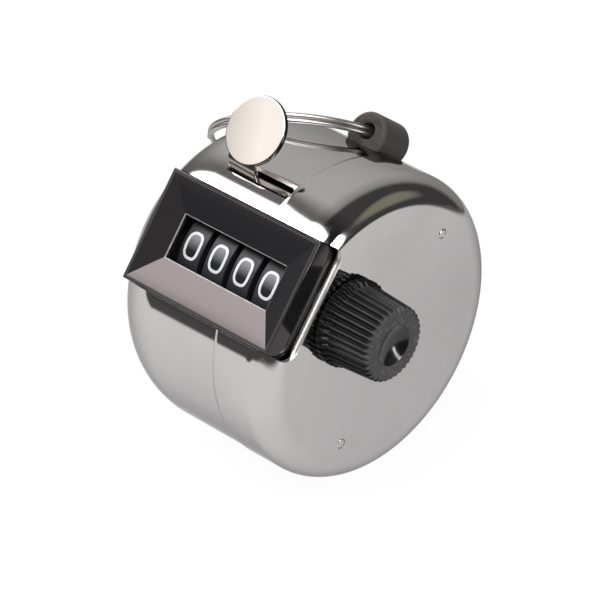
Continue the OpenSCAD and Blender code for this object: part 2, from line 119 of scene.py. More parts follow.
# Evenly spaced angles of one turn
def turnAngles(steps):
    return np.linspace(0, 2 * np.pi, steps, endpoint=False)


# A [radius, along] profile turned round an axis: radius times cosine and sine of the angle
def turned(profile, steps, axis="x", at=(0, 0, 0), closed=False, radiusOf=None):
    profile = np.asarray(profile, float)
    angle = turnAngles(steps)
    radius, along = (np.repeat(profile[:, k:k + 1], steps, axis=1) for k in (0, 1))
    if radiusOf:
        radius = radiusOf(radius, along, angle[None, :])
    side, up = radius * np.cos(angle), radius * np.sin(angle)
    order = {"x": (along, side, up), "y": (side, along, up), "z": (side, up, along)}[axis]
    return skin(np.stack(order, axis=-1) + at, closeRows=closed)


# A closed [u, v] section carried along a path: path point plus u and v times two directions
def carried(section, path, uDir, vDir):
    section, path = np.asarray(section, float), np.asarray(path, float)
    uDir, vDir = (np.broadcast_to(d, path.shape)[:, None, :] for d in (uDir, vDir))
    return skin(path[:, None, :] + section[None, :, :1] * uDir + section[None, :, 1:] * vDir)


# A [y, z] outline carried straight along x
def prism(outline, x0, x1):
    return carried(outline, [[x0, 0, 0], [x1, 0, 0]], [0, 1, 0], [0, 0, 1])


# Arc points: centre plus radius times cosine and sine, from one angle to another in degrees
def arc(cx, cy, rx, ry, a0, a1, steps):
    a = np.radians(np.linspace(a0, a1, steps))
    return np.stack([cx + rx * np.cos(a), cy + ry * np.sin(a)], axis=-1)


# Circle: an arc that stops one step short of its start
def circle(r, steps):
    return arc(0, 0, r, r, 0, 360 - 360 / steps, steps)


# Rounded rectangle: four quarter arcs about the inset corners
def roundedBox(halfW, halfH, r):
    return np.concatenate([arc(x * (halfW - r), y * (halfH - r), r, r, 90 * k, 90 * k + 90, 5)
                           for k, (x, y) in enumerate(cornerSigns)])


# Corners eased by quadratic curves: each bend is swapped for a curve between points near it on both legs
def eased(corners, reach, steps):
    mostOfLeg = 0.45
    corners = [np.asarray(c, float) for c in corners]
    out = [corners[0][None, :]]
    t = np.linspace(0, 1, steps)[:, None]
    for before, here, after, r in zip(corners[:-2], corners[1:-1], corners[2:], reach):
        a, b = (here + leg * min(mostOfLeg, r / np.linalg.norm(leg)) for leg in (before - here, after - here))
        out.append((1 - t) ** 2 * a + 2 * t * (1 - t) * here + t ** 2 * b)
    out.append(corners[-1][None, :])
    return np.concatenate(out)


# Several skins as one mesh, each with its material number
def newMesh(name, parts, numbers=None):
    faces, marks, base = [], [], 0
    for (points, quads, caps), number in zip(parts, numbers or [0] * len(parts)):
        faces += (quads + base).tolist() + [(cap + base).tolist() for cap in caps]
        marks += [number] * (len(quads) + len(caps))
        base += len(points)
    mesh = bpy.data.meshes.new(name)
    mesh.from_pydata(standUp(np.concatenate([part[0] for part in parts])).tolist(), [], faces)
    mesh.polygons.foreach_set("material_index", marks)
    mesh.update()
    return mesh


# Gives a mesh's first points the edge value, and the rest none; materials show it as painted highlight, sheen
# or shade, or as the knob's paler ridges and end
def setEdge(mesh, values):
    values = np.pad(np.ravel(values), (0, len(mesh.vertices) - np.size(values)))
    mesh.attributes.new("edge", "FLOAT", "POINT").data.foreach_set("value", values)


def addObject(name, data):
    made = bpy.data.objects.new(name, data)
    bpy.context.scene.collection.objects.link(made)
    return made


# Puts a mesh in the scene as a finished piece: smooth but for edges over the angle, on its body, for its node
def finishPiece(mesh, looks, body, node, sharpAngle):
    piece = addObject(mesh.name, mesh)
    for look in looks:
        mesh.materials.append(materials[look])
    if sharpAngle:
        mesh.shade_smooth()
        mesh.set_sharp_from_angle(angle=math.radians(sharpAngle))
    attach(piece, body)
    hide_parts(node)
    return piece


# Shader helpers: inputs of a node, each a value or another node's socket
def setInputs(node, inputs):
    for key, value in inputs.items():
        if isinstance(value, bpy.types.NodeSocket):
            node.id_data.links.new(value, node.inputs[key])
        else:
            node.inputs[key].default_value = value


# A new shader node with its properties and inputs
def addNode(tree, kind, inputs=None, **props):
    made = tree.nodes.new("ShaderNode" + kind)
    for key, value in props.items():
        setattr(made, key, value)
    setInputs(made, inputs or {})
    return made


# The next ones go into the tree of the first socket they are given
def mathNode(operation, a, b=0.0, clamp=False):
    return addNode(a.id_data, "Math", {0: a, 1: b}, operation=operation, use_clamp=clamp).outputs[0]


# Smooth or straight change of a value over a range: from, to, and the values there
def mapRange(value, lo, hi, toLo=0.0, toHi=1.0, kind="SMOOTHSTEP"):
    limits = {"Value": value, "From Min": lo, "From Max": hi, "To Min": toLo, "To Max": toHi}
    return addNode(value.id_data, "MapRange", limits, interpolation_type=kind).outputs["Result"]


def mixColour(factor, a, b):
    return addNode(factor.id_data, "Mix", {0: factor, 6: a, 7: b}, data_type="RGBA").outputs[2]


def mixValue(factor, a, b):
    return addNode(factor.id_data, "Mix", {0: factor, 2: a, 3: b}).outputs[0]


# A value dimmed by ranges of other values, one after another
def dimmed(value, *ranges):
    for other, limits in ranges:
        value = mathNode("MULTIPLY", value, mapRange(other, *limits))
    return value


def newGroup(name, inputs, outputs):
    group = bpy.data.node_groups.new(name, "ShaderNodeTree")
    group.interface.new_socket("Vector", in_out="INPUT", socket_type="NodeSocketVector")
    for label, value in inputs.items():
        group.interface.new_socket(label, in_out="INPUT", socket_type="NodeSocketFloat").default_value = value
    for label in outputs:
        group.interface.new_socket(label, in_out="OUTPUT", socket_type="NodeSocketFloat")
    return group, group.nodes.new("NodeGroupInput").outputs, group.nodes.new("NodeGroupOutput")


# Cloudy handling marks: a broad and a fine layer of noise, added up by their shares
def makeHandling():
    marks = dict(fineness=14.0, cloud=(0.42, 0.68), broadShare=0.7, fineShare=0.3)
    group, given, out = newGroup("handlingMarks", {"Scale": 120.0}, ["Mask", "Height"])
    broad = {"Vector": given["Vector"], "Scale": given["Scale"], "Detail": 3.0, "Roughness": 0.55}
    cloud = mapRange(addNode(group, "TexNoise", broad).outputs["Fac"], *marks["cloud"])
    fine = {"Vector": given["Vector"], "Detail": 2.0, "Roughness": 0.5,
            "Scale": mathNode("MULTIPLY", given["Scale"], marks["fineness"])}
    grain = addNode(group, "TexNoise", fine).outputs["Fac"]
    both = mathNode("ADD", mathNode("MULTIPLY", cloud, marks["broadShare"]),
                    mathNode("MULTIPLY", grain, marks["fineShare"]))
    setInputs(out, {"Mask": both, "Height": grain})
    return group


# Edge tone: the edge value on the mesh, broken up by noise. It lays in painted highlight, sheen and shade,
# and the knob's paler ridges and end
def makeEdgeTone():
    breaks = (0.35, 0.62)
    sockets = {"Edge": 0.0, "Scale": 900.0, "Amount": 0.6, "Evenness": 0.0}
    group, given, out = newGroup("edgeTone", sockets, ["Mask"])
    speck = {"Vector": given["Vector"], "Scale": given["Scale"], "Detail": 3.0}
    speck = addNode(group, "TexNoise", speck).outputs["Fac"]
    broken = mathNode("MAXIMUM", mapRange(speck, *breaks), given["Evenness"])
    toneMask = mathNode("MULTIPLY", given["Edge"], broken)
    setInputs(out, {"Mask": mathNode("MULTIPLY", toneMask, given["Amount"], clamp=True)})
    return group


handlingMarks = makeHandling()
edgeTone = makeEdgeTone()


# A material with its handling marks, by which its roughness drifts and its surface rises, and its edge value
def startMaterial(name, smooth, rough, markScale, bump):
    material = bpy.data.materials.new(name)
    material.use_nodes = True
    tree = material.node_tree
    shader = tree.nodes["Principled BSDF"]
    place = addNode(tree, "TexCoord").outputs["Object"]
    marks = addNode(tree, "Group", {"Vector": place, "Scale": markScale}, node_tree=handlingMarks).outputs
    setInputs(shader, {"Roughness": mapRange(marks["Mask"], 0.0, 1.0, smooth, rough, "LINEAR")})
    if bump:
        rise = {"Height": marks["Height"], "Distance": bump, "Strength": 1.0}
        setInputs(shader, {"Normal": addNode(tree, "Bump", rise).outputs["Normal"]})
    edge = addNode(tree, "Attribute", attribute_name="edge").outputs["Fac"]
    return material, shader, place, marks["Mask"], edge


# Base colour, darker colour, least and most roughness, mark scale, bump in metres, edge tint
metalLooks = {
    "polishedChrome": ((0.548, 0.532, 0.532), (0.508, 0.492, 0.492), 0.05, 0.08, 70, 0.0, 0.5),
    "cutEdge": ((0.80, 0.785, 0.78), (0.70, 0.685, 0.68), 0.36, 0.42, 60, 0.0, 0.8),
    "ringWire": ((0.50, 0.48, 0.475), (0.40, 0.38, 0.37), 0.30, 0.34, 60, 0.0, 0.5),
    "leverNickel": ((0.81, 0.75, 0.70), (0.75, 0.68, 0.62), 0.15, 0.18, 32, 0.0, 0.8),
    "stakeSteel": ((0.58, 0.57, 0.55), (0.42, 0.41, 0.40), 0.15, 0.30, 600, 3e-6, 0.7),
    "insideSteel": ((0.50, 0.50, 0.51), (0.38, 0.38, 0.39), 0.28, 0.42, 150, 4e-6, 0.8),
    "framePlate": ((0.60, 0.60, 0.62), (0.48, 0.48, 0.50), 0.30, 0.46, 110, 4e-6, 0.8),
    "coilSteel": ((0.46, 0.46, 0.47), (0.34, 0.34, 0.35), 0.22, 0.36, 300, 2e-6, 0.8),
    "turnedBrass": ((0.78, 0.60, 0.30), (0.62, 0.45, 0.20), 0.22, 0.38, 180, 3e-6, 0.8),
}
shadeShare = 0.12  # how much of the darker colour is left in the painted shade where the edge value is one


# Metal: colour drifts with the handling marks, and the mesh's edge value darkens it as painted shade
def makeMetal(name):
    base, dark, smooth, rough, scale, bump, edgeTint = metalLooks[name]
    material, shader, place, marks, edge = startMaterial(name, smooth, rough, scale, bump)
    tone = mixColour(marks, (*base, 1), (*dark, 1))
    tone = mixColour(edge, tone, (*(shadeShare * np.array(dark)), 1))
    setInputs(shader, {"Metallic": 1.0, "Specular Tint": (*[edgeTint] * 3, 1), "Base Color": tone})
    return material


plain, warm = (1.0, 1.0, 1.0), (1.0, 0.86, 0.85)  # tints
# Base colour, edge colour, least and most roughness, mark scale, bump in metres, the edge colour's amount and
# evenness, gloss and its tint. The edge colour is painted highlight on the window frame, painted shade on the
# lug's ends and painted sheen in the noughts; on the knob it makes the ridges and end paler
darkLooks = {
    "windowBlack": ((0.010, 0.010, 0.011), (0.36, 0.35, 0.35), 0.08, 0.12, 160, 1e-6, 1.0, 0.8, 0.5, warm),
    "wheelBlack": ((0.010, 0.0105, 0.013), (0.05, 0.05, 0.05), 0.42, 0.52, 260, 2e-6, 0.3, 0.0, 0.28, plain),
    "knobBlack": ((0.004, 0.004, 0.0045), (0.22, 0.22, 0.22), 0.18, 0.26, 240, 3e-6, 1.0, 0.7, 0.12, plain),
    "knobDish": ((0.004, 0.004, 0.0045), (0.22, 0.22, 0.22), 0.12, 0.16, 240, 1e-6, 1.0, 0.7, 0.5, plain),
    "lugBlack": ((0.046, 0.041, 0.040), (0.021, 0.018, 0.0175), 0.46, 0.58, 220, 4e-6, 1.0, 0.6, 0.10, plain),
    "noughtSheen": ((0.006, 0.006, 0.007), (0.15, 0.15, 0.16), 0.45, 0.55, 500, 1e-6, 1.0, 0.9, 0.1, plain),
    "figureWhite": ((0.40, 0.41, 0.44), (0.33, 0.33, 0.34), 0.38, 0.50, 500, 3e-6, 0.0, 0.0, 0.2, plain),
}
markDrift = 0.25  # how far what takes no edge colour drifts to its second colour by the marks


# Paint and plastic: the edge colour, painted light or shade or the knob's paler tone, comes in by the mesh's
# edge value
def makeDark(name):
    base, edgeColour, smooth, rough, scale, bump, amount, even, gloss, tint = darkLooks[name]
    material, shader, place, marks, edge = startMaterial(name, smooth, rough, scale, bump)
    edgeMask = {"Vector": place, "Edge": edge, "Amount": amount, "Evenness": even}
    edgeMask = addNode(shader.id_data, "Group", edgeMask, node_tree=edgeTone).outputs["Mask"]
    ground, edgeColour = (*base, 1), (*edgeColour, 1)
    if not amount:
        ground = mixColour(mathNode("MULTIPLY", marks, markDrift), ground, edgeColour)
    tone = mixColour(edgeMask, ground, edgeColour)
    setInputs(shader, {"Specular IOR Level": gloss, "Specular Tint": (*tint, 1), "Base Color": tone})
    return material


materials = {name: makeMetal(name) for name in metalLooks}
materials.update({name: makeDark(name) for name in darkLooks})
print("materials made:", len(materials))


# Camera at the photograph's place, aimed at the picture's middle
def makeCamera():
    view = dict(toCamera=(0.6088, -0.5999, 0.5189), side=(0.7021, 0.7121, 0.0), up=(-0.3692, 0.3648, 0.8548),
                origin=(0.0, -0.007378, 0.029512), distance=0.537, focalPixels=3665.0,
                principal=(268.2, 279.29), frameSize=600, sensor=36.0, nearest=0.01)
    toCamera, side, up = np.array(pick(view, "toCamera side up"))
    shift = (view["frameSize"] / 2 - np.array(view["principal"])) / view["focalPixels"]
    aim = Vector(shift[0] * side - shift[1] * up - toCamera).normalized()
    right = aim.cross(Vector(up)).normalized()
    data = bpy.data.cameras.new("photoCamera")
    data.sensor_width = view["sensor"]
    data.lens = view["focalPixels"] * view["sensor"] / view["frameSize"]
    data.clip_start = view["nearest"]
    camera = addObject("photoCamera", data)
    turn = Matrix((right, right.cross(aim), -aim)).transposed().to_4x4()
    camera.matrix_world = Matrix.Translation(view["origin"] + view["distance"] * toCamera) @ turn
    bpy.context.scene.camera = camera


# Pale floor: a glowing near sheet that the chrome mirrors, and the rest of it for the camera alone.
# The sheet's glow has a painted shadow in an oval behind and beside the counter, falls off a little to the
# back, has an oval of painted shadow, the gap, in front on the left, and fades out where the fourth powers of
# the two distances add up to one.
def makeFloor():
    floor = dict(middle=(-0.035, 0.0, 0.0), half=(0.125, 0.163, 1.0), far=3.0, white=0.96,
                 grey=(0.03, 0.03, 0.03, 1), shadeAt=(0.020, 0.040, 0.0), shadeSize=(0.060, 0.090, 1.0),
                 shade=(0.25, 1.0, 0.75, 0.97), gapAt=(-0.085, -0.156, 0.0), gapSize=(0.078, 0.061, 1.0),
                 gap=(0.90, 1.10, 0.03, 1.0), fade=(0.84, 1.0, 1.0, 0.1), rearFall=(0.0, 0.1, 1.0, 0.82))
    material = bpy.data.materials.new("studioFloor")
    material.use_nodes = True
    tree = material.node_tree
    tree.nodes.remove(tree.nodes["Principled BSDF"])
    place = addNode(tree, "TexCoord").outputs["Object"]

    def vector(operation, *given):
        return addNode(tree, "VectorMath", dict(enumerate(given)), operation=operation).outputs

    # place from a middle in shares of half a size
    def shares(middle, half):
        return vector("DIVIDE", vector("SUBTRACT", place, middle)[0], half)[0]

    # distance from the middle of an oval in shares of its size
    def fromOval(name):
        return vector("LENGTH", shares(floor[name + "At"], floor[name + "Size"]))["Value"]

    out = shares(floor["middle"], floor["half"])
    square = vector("MULTIPLY", out, out)[0]
    reach = mathNode("POWER", vector("DOT_PRODUCT", square, square)["Value"], 1 / 4)
    back = addNode(tree, "SeparateXYZ", {0: place}).outputs["Y"]
    # painted shadows in the floor's glow: the shade oval, the fall to the back and the dark gap oval
    sheet = dimmed(mapRange(fromOval("shade"), *floor["shade"]), (reach, floor["fade"]),
                   (fromOval("gap"), floor["gap"]), (back, floor["rearFall"]))
    seen = addNode(tree, "LightPath").outputs["Is Camera Ray"]
    strength = mixValue(seen, sheet, floor["white"])
    glow = addNode(tree, "Emission", {"Color": (1, 1, 1, 1), "Strength": strength})
    matt = addNode(tree, "BsdfDiffuse", {"Color": floor["grey"]})
    both = addNode(tree, "AddShader", {0: glow.outputs[0], 1: matt.outputs[0]})
    setInputs(tree.nodes["Material Output"], {"Surface": both.outputs[0]})
    corners = np.array([[-1, -1, 0], [1, -1, 0], [1, 1, 0], [-1, 1, 0]])
    inner = floor["middle"] + corners * floor["half"]
    border = np.concatenate([corners * floor["far"], inner])
    for name, points, faces in (("floorNear", inner, [[0, 1, 2, 3]]),
                                ("floorFar", border, gridQuads(2, 4)[:, ::-1].tolist())):
        mesh = bpy.data.meshes.new(name)
        mesh.from_pydata(points.tolist(), [], faces)
        mesh.materials.append(material)
        piece = addObject(name, mesh)
        if name == "floorFar":
            piece.visible_glossy = piece.visible_diffuse = piece.visible_shadow = False


# Studio light by direction: a broad soft panel above and in front that reaches down on the left, pale
# behind to the left, dark to the right, and a narrow slanted lamp low on the right.
# Patches are a direction, the cosines where they begin and are full, and a strength.
def makeLight():
    light = dict(panel=8.0, behind=(-1.0, 0.05, 0.86, 0.40), right=(0.0, 0.26, 1.0, 0.19), rearTilt=-0.37,
                 rearEdge=0.26, dip=(-0.30, -0.06, 1.0, 0.30), soft=(-0.03, 0.03),
                 low=(0.0, 0.4, 0.095, 0.24), foot=0.80, footTilt=-0.2, footSoft=(-0.03, 0.04),
                 leftFoot=(-0.97, -0.62, 0.22, 0.68), white=(1.0, 0.985, 0.975, 1),
                 warm=(1.0, 0.95, 0.70, 1), palePatch=((-0.613, -0.657, 0.438), 0.92, 0.975, 0.95),
                 warmPatch=((0.72, 0.672, 0.174), 0.94, 0.99, 0.25), lamp=14.0,
                 lampEnds=((121.0, -20.0), (104.0, 17.0)), lampWidth=0.085)
    world = bpy.data.worlds.new("softStudio")
    bpy.context.scene.world = world
    world.use_nodes = True
    tree = world.node_tree
    toward = addNode(tree, "TexCoord").outputs["Generated"]
    x, y, z = addNode(tree, "SeparateXYZ", {0: toward}).outputs
    tilted = mathNode("SUBTRACT", mathNode("MULTIPLY", z, light["rearTilt"]), y)
    ahead = mathNode("ADD", tilted, light["rearEdge"])  # over 0 in front of the panel's rear edge
    around = mapRange(x, *light["behind"], "LINEAR")
    around = dimmed(around, (x, light["right"]), (ahead, light["dip"]))
    isFront = mapRange(ahead, *light["soft"])
    sideways = mathNode("MULTIPLY", mathNode("ABSOLUTE", x), light["footTilt"])
    foot = mathNode("ADD", sideways, light["foot"])
    foot = mathNode("MINIMUM", foot, mapRange(x, *light["leftFoot"], "LINEAR"))
    panel = dimmed(isFront, (mathNode("SUBTRACT", z, foot), light["footSoft"]))
    tone = mixValue(isFront, around, mapRange(z, *light["low"]))
    tone = mixValue(panel, tone, light["panel"])
    for middle, begin, full, glow in pick(light, "palePatch warmPatch"):
        facing = addNode(tree, "VectorMath", {0: toward, 1: middle}, operation="DOT_PRODUCT")
        patch = mapRange(facing.outputs["Value"], begin, full)
        tone = mathNode("ADD", tone, mathNode("MULTIPLY", patch, glow))
    colour = mixColour(patch, *pick(light, "white warm"))  # the last patch is warm
    setInputs(tree.nodes["Background"], {"Color": colour, "Strength": tone})
    turn, rise = np.radians(light["lampEnds"]).T
    ends = np.stack([np.sin(turn) * np.cos(rise), -np.cos(turn) * np.cos(rise), np.sin(rise)], axis=-1)
    toLamp, length = Vector(ends.mean(axis=0)), Vector(ends[1] - ends[0])
    away = toLamp.normalized()
    along = (length - length.dot(away) * away).normalized()
    data = bpy.data.lights.new("sideLamp", "AREA")
    data.shape, data.size, data.size_y = "RECTANGLE", light["lampWidth"], length.length
    data.energy = light["lamp"] * math.pi * data.size * data.size_y
    facing = Matrix((along.cross(away), along, away)).transposed().to_4x4()
    addObject("sideLamp", data).matrix_world = Matrix.Translation(toLamp) @ facing


makeCamera()
makeFloor()
makeLight()
bpy.context.scene.view_settings.view_transform = "Standard"
print("camera, floor and light placed")

# Shells of the case
caseShape = dict(radius=24.1, leftRadius=23.95, wall=0.8, rightFace=16.1, leftFace=-20.2, seam=5.0,
                 rightRound=4.2, leftRound=12.4, rimEase=1.6, rimDrop=0.42, lipRadius=23.25, lipEnd=8.0,
                 joggle=4.2, underRim=0.86, steps=240)
notch = dict(halfHeight=9.0, back=-7.8, round=2.4, left=-15.1, leftEnd=10, front=-30.0, edge=0.6)
widerNotch = dict(notch, back=notch["back"] + notch["edge"])  # right shell's cut before its edge is laid in
leverSlot = dict(pivot=(-7.4, 10.2), middle=137.5, width=2.79, left=-6.85, reach=24.0, right=9.0)
holes = dict(bush=3.25, stake=0.8, steps=40, rightStake=(12.0, 17.1), leftStake=(9.3, 9.0),
             rightRun=(14, 18), leftRun=(-22, -18))
floorSlab = dict(half=24.0, depth=2.0)
overrun = 1  # how far cuts go past the case
rimTurn = math.acos(1 - caseShape["rimDrop"] / caseShape["rimEase"])  # bends in until it has dropped so far
rimMiddle = caseShape["seam"] + caseShape["rimEase"] * math.sin(rimTurn)


def rightProfile(c):
    r, f, w, k, e = pick(c, "radius rightFace wall rightRound rimEase")
    return np.concatenate([
        [[nearAxis, f]], arc(r - k, f - k, k, k, 90, 0, 25),
        arc(r - e, rimMiddle, e, e, 0, -math.degrees(rimTurn), 13), [[r - w, c["seam"]]],
        arc(r - k, f - k, k - w, k - w, 0, 90, 13), [[nearAxis, f - w]]])


# The left wall runs on under the right shell's rim, then steps in to a lip inside it
def leftProfile(c):
    r, f, w, k, lip, end, joggle = pick(c, "leftRadius leftFace wall leftRound lipRadius lipEnd joggle")
    step = c["seam"] + c["underRim"]
    return np.concatenate([
        [[nearAxis, f]], arc(r - k, f + k, k, k, -90, 0, 37),
        [[r, step], [lip, step], [lip, end], [lip - w, end], [lip - w, joggle], [r - w, joggle]],
        arc(r - k, f + k, k - w, k - w, 0, -90, 19), [[nearAxis, f + w]]])


# Side view of the window's cut: open to the front, its rear corners quarter rounds
def notchOutline(n):
    h, b, r, front = pick(n, "halfHeight back round front")
    return np.concatenate([[[front, -h]], arc(b - r, -h + r, r, r, -90, 0, 9),
                           arc(b - r, h - r, r, r, 0, 90, 9), [[front, h]]])


# Side view of the lever's slot: a strip of even width that runs out from the pivot
def slotOutline(s):
    run, lift = heading(s["middle"])
    near, across = np.array(s["pivot"]), lift * s["width"] / 2
    far = near + run * s["reach"]
    return np.array([near - across, far - across, far + across, near + across])


# Slab below the floor, turned into the own frame: the shells stand on the narrow flat that it leaves
def floorCutter():
    half, depth = pick(floorSlab, "half depth")
    slab = np.array([[0, -half, -depth], [0, half, -depth], [0, half, 0], [0, -half, 0]])
    return prism(layDown(slab * mm)[:, 1:], caseShape["leftFace"] - overrun, caseShape["rightFace"] + overrun)


def holeCutter(radius, y, z, run):
    return turned([[radius, x] for x in run], holes["steps"], at=(0, y, z))


# Cuts one mesh out of another with a Boolean, leaving a plain mesh
def cutAway(mesh, cutters):
    body, tool = addObject("blank", mesh), addObject("cutter", newMesh("cutter", cutters))
    cut = body.modifiers.new("cut", "BOOLEAN")
    cut.operation, cut.solver, cut.object = "DIFFERENCE", "EXACT", tool
    result = bpy.data.meshes.new_from_object(body.evaluated_get(bpy.context.evaluated_depsgraph_get()))
    result.name = mesh.name
    for spare in (mesh, tool.data):
        bpy.data.meshes.remove(spare)  # its object goes with it
    return result


# True normals for a turned cup: out along the radius on the wall, along x on the face, and from the
# rounding's centre between them, and so again on the rim. The inner skin takes the reverse, and cut
# edges stay flat and take the second material. By the window's cut the rim is pressed down a little, so its
# normals tilt forward by a bell curve of the distances round the wall and along x.
lipCurl = dict(start=12.4, reach=1.7, x=5.3, width=0.50, tilt=0.40)
onSkin = 0.97  # cosine to the true normal from which a face belongs to the skin


def cupNormals(mesh, radius, face, rounding, rimAt=-np.inf, ease=0.0):
    mesh.shade_smooth()
    side = np.sign(face)

    # one property of all the mesh's vertices, loops or faces
    def read(items, name, wide, kind):
        values = np.empty(len(items) * wide, kind)
        items.foreach_get(name, values)
        return values.reshape(-1, wide) if wide > 1 else values

    def outward(p):
        p = layDown(p) - axisAt
        x, y, z = side * p[:, 0], p[:, 1], p[:, 2]
        rho = np.maximum(np.hypot(y, z), tiny)
        along = np.maximum(x - (abs(face) - rounding), 0)
        out = np.maximum(rho - (radius - rounding), 0) + tiny * (along == 0)
        onRim = (x < rimAt) & (rho > radius - ease)
        along = np.where(onRim, x - rimAt, along)
        out = np.where(onRim, rho - radius + ease, out)
        size = np.maximum(np.hypot(along, out), tiny)
        around = np.arctan2(z, -y) * rho - lipCurl["start"]
        curl = lipCurl["tilt"] * onRim * np.exp(-(around / lipCurl["reach"]) ** 2)
        curl *= np.exp(-((x - lipCurl["x"]) / lipCurl["width"]) ** 2)
        toY, toZ = out / size * y / rho, out / size * z / rho
        return leanBack(np.stack([side * along / size, toY - curl * toZ, toZ + curl * toY], axis=-1))

    flat = read(mesh.polygons, "normal", 3, float)
    toward = np.einsum("ij,ij->i", outward(read(mesh.polygons, "center", 3, float)), flat)
    mesh.polygons.foreach_set("material_index", (abs(toward) <= onSkin).astype(int))
    ofLoop = np.repeat(np.arange(len(flat)), read(mesh.polygons, "loop_total", 1, int))
    corner = read(mesh.loops, "vertex_index", 1, int)
    true = outward(read(mesh.vertices, "co", 3, float)[corner])
    facing = np.where(abs(toward) > onSkin, np.sign(toward), 0)[ofLoop][:, None]
    mesh.normals_split_custom_set(np.where(facing == 0, flat[ofLoop], facing * true).tolist())


# Turned edge of the window's cut on the right end: a round bar along the widened cut's outline that thins
# out round the corners by powers of a cosine, held its own radius under the end, which falls by the
# rounding's circle
edgeBar = dict(turn=88, lowPower=3, highPower=1, least=0.06, steps=21, sides=36)


def windowEdge():
    s = edgeBar
    radius, face, rounding = pick(caseShape, "radius rightFace rightRound")
    h, b, r, edge = pick(widerNotch, "halfHeight back round edge")
    last, steps = pick(s, "turn steps")
    turn = np.concatenate([np.linspace(-last, 0, steps), np.linspace(0, last, steps)])
    power = np.where(turn < 0, s["lowPower"], s["highPower"])
    bar = edge * np.maximum(np.cos(np.radians(turn)) ** power, s["least"])
    flat = np.concatenate([arc(b - r, -h + r, r, r, -last, 0, steps),
                           arc(b - r, h - r, r, r, 0, last, steps)])
    fromAxis = np.hypot(flat[:, 0] - standing["shaftForward"], flat[:, 1])
    past = np.maximum(fromAxis - radius + rounding, 0)
    height = face - rounding + np.sqrt((rounding - bar) ** 2 - past ** 2)
    path = np.column_stack([height, flat])
    along = unit(np.gradient(path, axis=0))
    side = unit(np.cross(along, [1.0, 0, 0]))
    return carried(circle(1, s["sides"]), path, side * bar[:, None], np.cross(along, side) * bar[:, None])


# One shell: its turned profile less its own cuts and its stakes' holes
def makeShell(name, node, profile, cuts, hand, *cup):
    (y, z), run = holes[hand + "Stake"], holes[hand + "Run"]
    cuts += [holeCutter(holes["stake"], y, side * z, run) for side in (-1, 1)]
    shell = cutAway(newMesh(name, [turned(profile, caseShape["steps"], at=axisAt)]), cuts)
    cupNormals(shell, *cup)
    finishPiece(shell, ["polishedChrome", "cutEdge"], "case", node, None)
    print(name, "made:", len(shell.polygons), "faces")


def makeShells():
    c = caseShape
    rightCuts = [prism(notchOutline(widerNotch), c["seam"] - overrun, c["rightFace"] + overrun),
                 floorCutter(), holeCutter(holes["bush"], 0, 0, holes["rightRun"])]
    makeShell("rightShell", "right_shell", rightProfile(c), rightCuts, "right",
              c["radius"], c["rightFace"], c["rightRound"], rimMiddle, c["rimEase"])
    leftCuts = [prism(notchOutline(notch), notch["left"], notch["leftEnd"]), floorCutter(),
                prism(slotOutline(leverSlot), leverSlot["left"], leverSlot["right"])]
    makeShell("leftShell", "left_shell", leftProfile(c), leftCuts, "left",
              c["leftRadius"], c["leftFace"], c["leftRound"])
    edge = newMesh("rightShell.edge", [windowEdge()])
    finishPiece(edge, ["cutEdge"], "case", "right_shell", 60)


makeShells()

# Window frame: rectangles of changing width, height and depth, one inside the next, closed on themselves.
# Eases are the reach of each rounded edge from the outside in. Edge highlights are painted: a first loop and
# its strength.
windowShape = dict(halfWidth=15.0, halfHeight=8.9, front=-12.4, back=-7.9, round=2.4, wall=0.9, rim=0.5,
                   opening=(10.4, 3.45), slopeDepth=1.4, corner=0.12, cornerSteps=5,
                   eases=(0.224, 0.14, 0.224, 0.05, 0.05), edgeHighlights=((2, 0.04), (7, 0.04), (12, 1.0)),
                   highlightLoops=3)


def makeWindow():
    s = windowShape
    w, h, f, b, k, t = pick(s, "halfWidth halfHeight front back round wall")
    deep = f + s["slopeDepth"]

    # quarter round at the rear, set in from the outside
    def rearRound(inset):
        up = arc(b - k, h - k, k - inset, k - inset, 0, 90, 13)
        return np.column_stack([np.full(len(up), w - inset), up[:, 1], up[:, 0]])

    rear, inside = rearRound(0), rearRound(t)
    sides = eased([rear[-1], (w, h, f), (w - s["rim"], h - s["rim"], f), (*s["opening"], deep),
                   (*s["opening"], deep + t), (w - t, h - t, deep + t), inside[-1]], s["eases"], 5)
    loops = np.concatenate([rear[:-1], sides, inside[-2::-1]])
    corner = np.repeat(cornerSigns, s["cornerSteps"], axis=0)
    lean = np.radians(np.linspace(0, 90, s["cornerSteps"]) + 90 * np.arange(4)[:, None]).ravel()
    r = s["corner"]
    x = corner[None, :, 0] * (loops[:, :1] - r) + r * np.cos(lean)
    z = corner[None, :, 1] * (loops[:, 1:2] - r) + r * np.sin(lean)
    y = np.repeat(loops[:, 2:], len(lean), axis=1)
    mesh = newMesh("windowFrame", [skin(np.stack([x, y, z], axis=-1), closeRows=True)])
    # painted highlights: light lines along the outer front edge, the rim's inner edge and the opening's edge
    toneMask = np.zeros(len(loops))
    for first, highlight in s["edgeHighlights"]:
        start = len(rear) - 1 + first
        toneMask[start:start + s["highlightLoops"]] = highlight
    setEdge(mesh, np.repeat(toneMask, len(lean)))
    finishPiece(mesh, ["windowBlack"], "case", "window_bezel", 30)
    print("window frame made")


makeWindow()

# Number wheels. Grey is where the painted sheen inside a nought starts and over what run.
wheelShape = dict(radius=9.5, pitch=5.2, first=-9.9, band=4.2, bandWall=1.0, web=1.4, hub=3.45, bore=2.05,
                  ratchet=7.2, toothDepth=1.0, ratchetWidth=0.8, ratchetEase=(0.1, 0.05), chamfer=0.1,
                  steps=240)
figures = dict(count=10, halfWidth=1.27, halfHeight=1.95, stroke=0.44, height=0.03, sink=0.08, round=2.9,
               drop=0.22, ease=0.12, print=0.012, grey=(-0.35, 1.1))
places = ["thousands", "hundreds", "tens", "units"]


